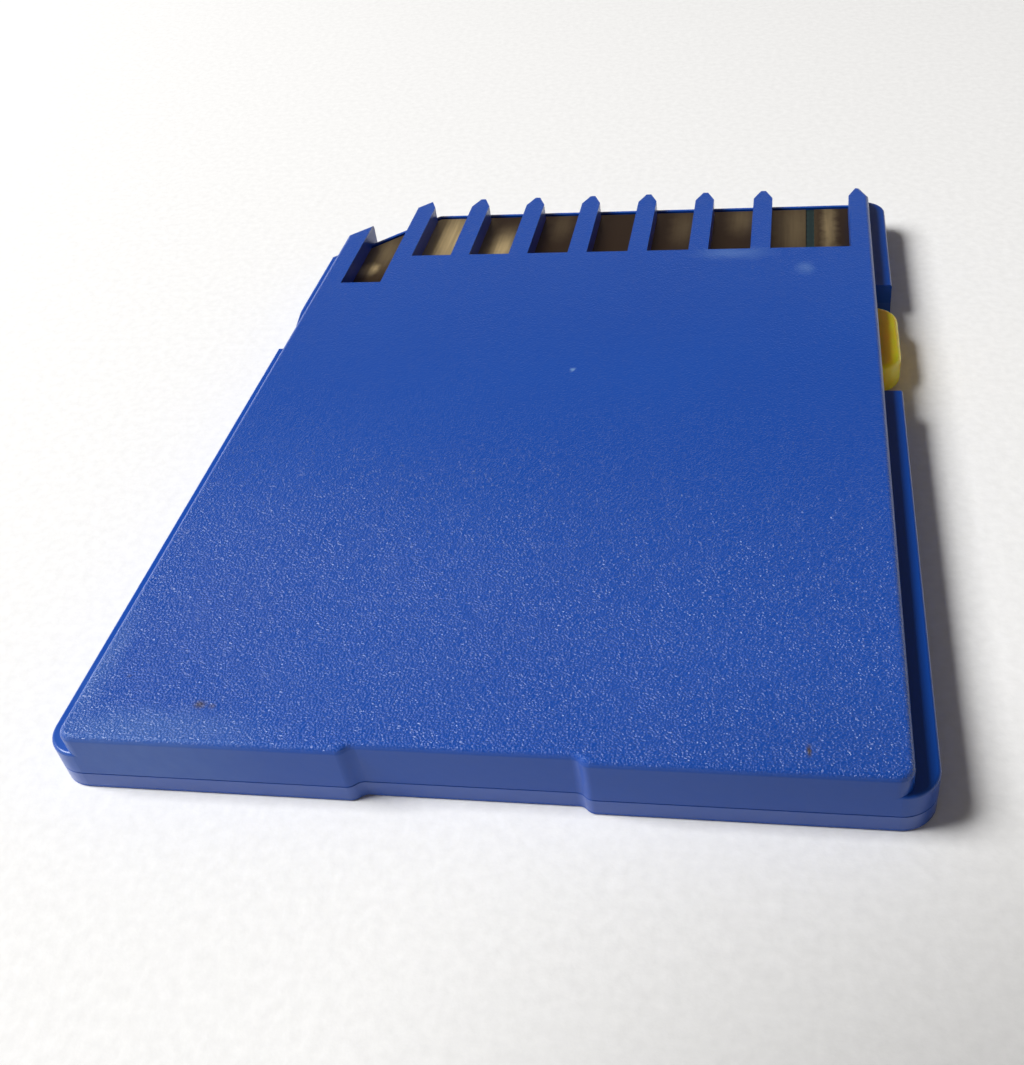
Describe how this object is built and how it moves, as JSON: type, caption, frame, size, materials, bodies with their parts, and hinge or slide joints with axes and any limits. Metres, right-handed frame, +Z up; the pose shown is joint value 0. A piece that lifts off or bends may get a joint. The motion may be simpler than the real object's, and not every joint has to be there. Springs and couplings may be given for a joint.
{
  "type": "sd memory card",
  "caption": "Flat memory card with a cut corner, ribbed contact windows, stepped guide rails and a write-protect slider in its side.",
  "frame": {"origin": "middle of the label face, which is the bottom of the card's box", "axes": "+X across the card to the slider side, +Y along it to the contact end, +Z up out of the contact side"},
  "size_m": [0.0241, 0.032, 0.0021],
  "materials": {
    "cover_plastic": "fine spark texture",
    "slider_plastic": "satin",
    "board_laminate": "solder mask",
    "contact_gold": "worn gold plate",
    "chip_package": "moulded",
    "lead_metal": "tin plate",
    "capacitor_ceramic": "fired",
    "resistor_ceramic": "fired"
  },
  "bodies": {
    "card": {"back_cover": "cover_plastic", "front_cover": "cover_plastic", "circuit_board": "board_laminate", "flash_memory_chip": "chip_package", "controller_chip": "chip_package", "flash_chip_leads": "lead_metal", "contact_pad_1": "contact_gold", "contact_pad_2": "contact_gold", "contact_pad_3": "contact_gold", "contact_pad_4": "contact_gold", "contact_pad_5": "contact_gold", "contact_pad_6": "contact_gold", "contact_pad_7": "contact_gold", "contact_pad_8": "contact_gold", "contact_pad_9": "contact_gold", "capacitor_1": "capacitor_ceramic", "capacitor_2": "capacitor_ceramic", "capacitor_3": "capacitor_ceramic", "capacitor_4": "capacitor_ceramic", "resistor_1": "resistor_ceramic", "resistor_2": "resistor_ceramic", "resistor_3": "resistor_ceramic", "resistor_4": "resistor_ceramic", "resistor_5": "resistor_ceramic"},
    "slider": {"write_protect_slider": "slider_plastic"}
  },
  "joints": [
    {"name": "lock_slide", "type": "slide", "parent": "card", "child": "slider", "axis": [0, 1, 0], "range_m": [-0.0015, 0.0013]}
  ]
}
